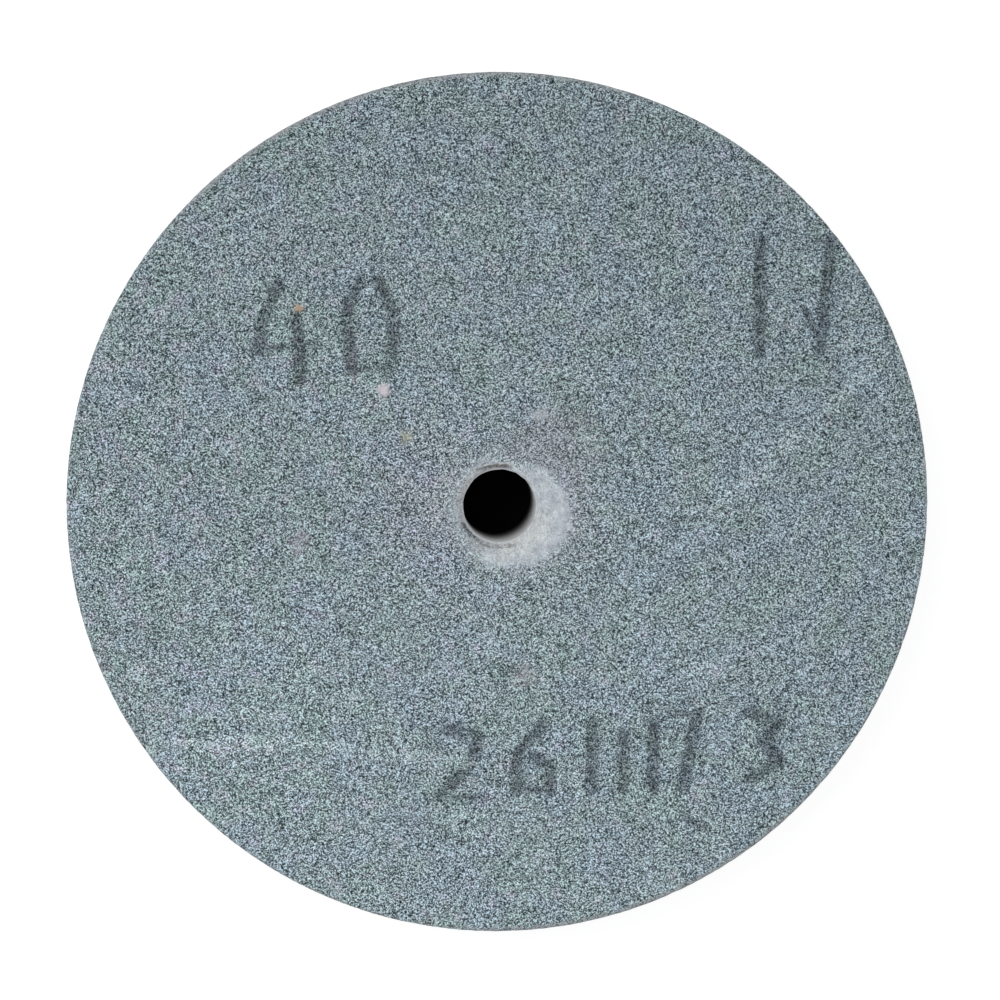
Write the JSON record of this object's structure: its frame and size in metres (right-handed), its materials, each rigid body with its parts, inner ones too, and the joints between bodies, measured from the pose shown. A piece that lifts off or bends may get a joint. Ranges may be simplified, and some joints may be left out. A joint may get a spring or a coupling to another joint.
{
  "type": "grinding wheel",
  "caption": "Straight vitrified grinding wheel of pale grey-green grit, with a cast bush that brings its hole down to the spindle size.",
  "frame": {"origin": "on the bore's axis, at the back face that the wheel lies on", "axes": "+Z along the bore, out of the marked front face; +Y towards the top of the marked face as it is read"},
  "size_m": [0.15, 0.15, 0.02],
  "materials": {
    "abrasive_stone": "open, gritty vitrified grain, matt",
    "cast_paste": "smooth set paste, matt, chalky"
  },
  "bodies": {
    "root": {"abrasive_wheel": "abrasive_stone", "cast_bush": "cast_paste"}
  },
  "joints": []
}
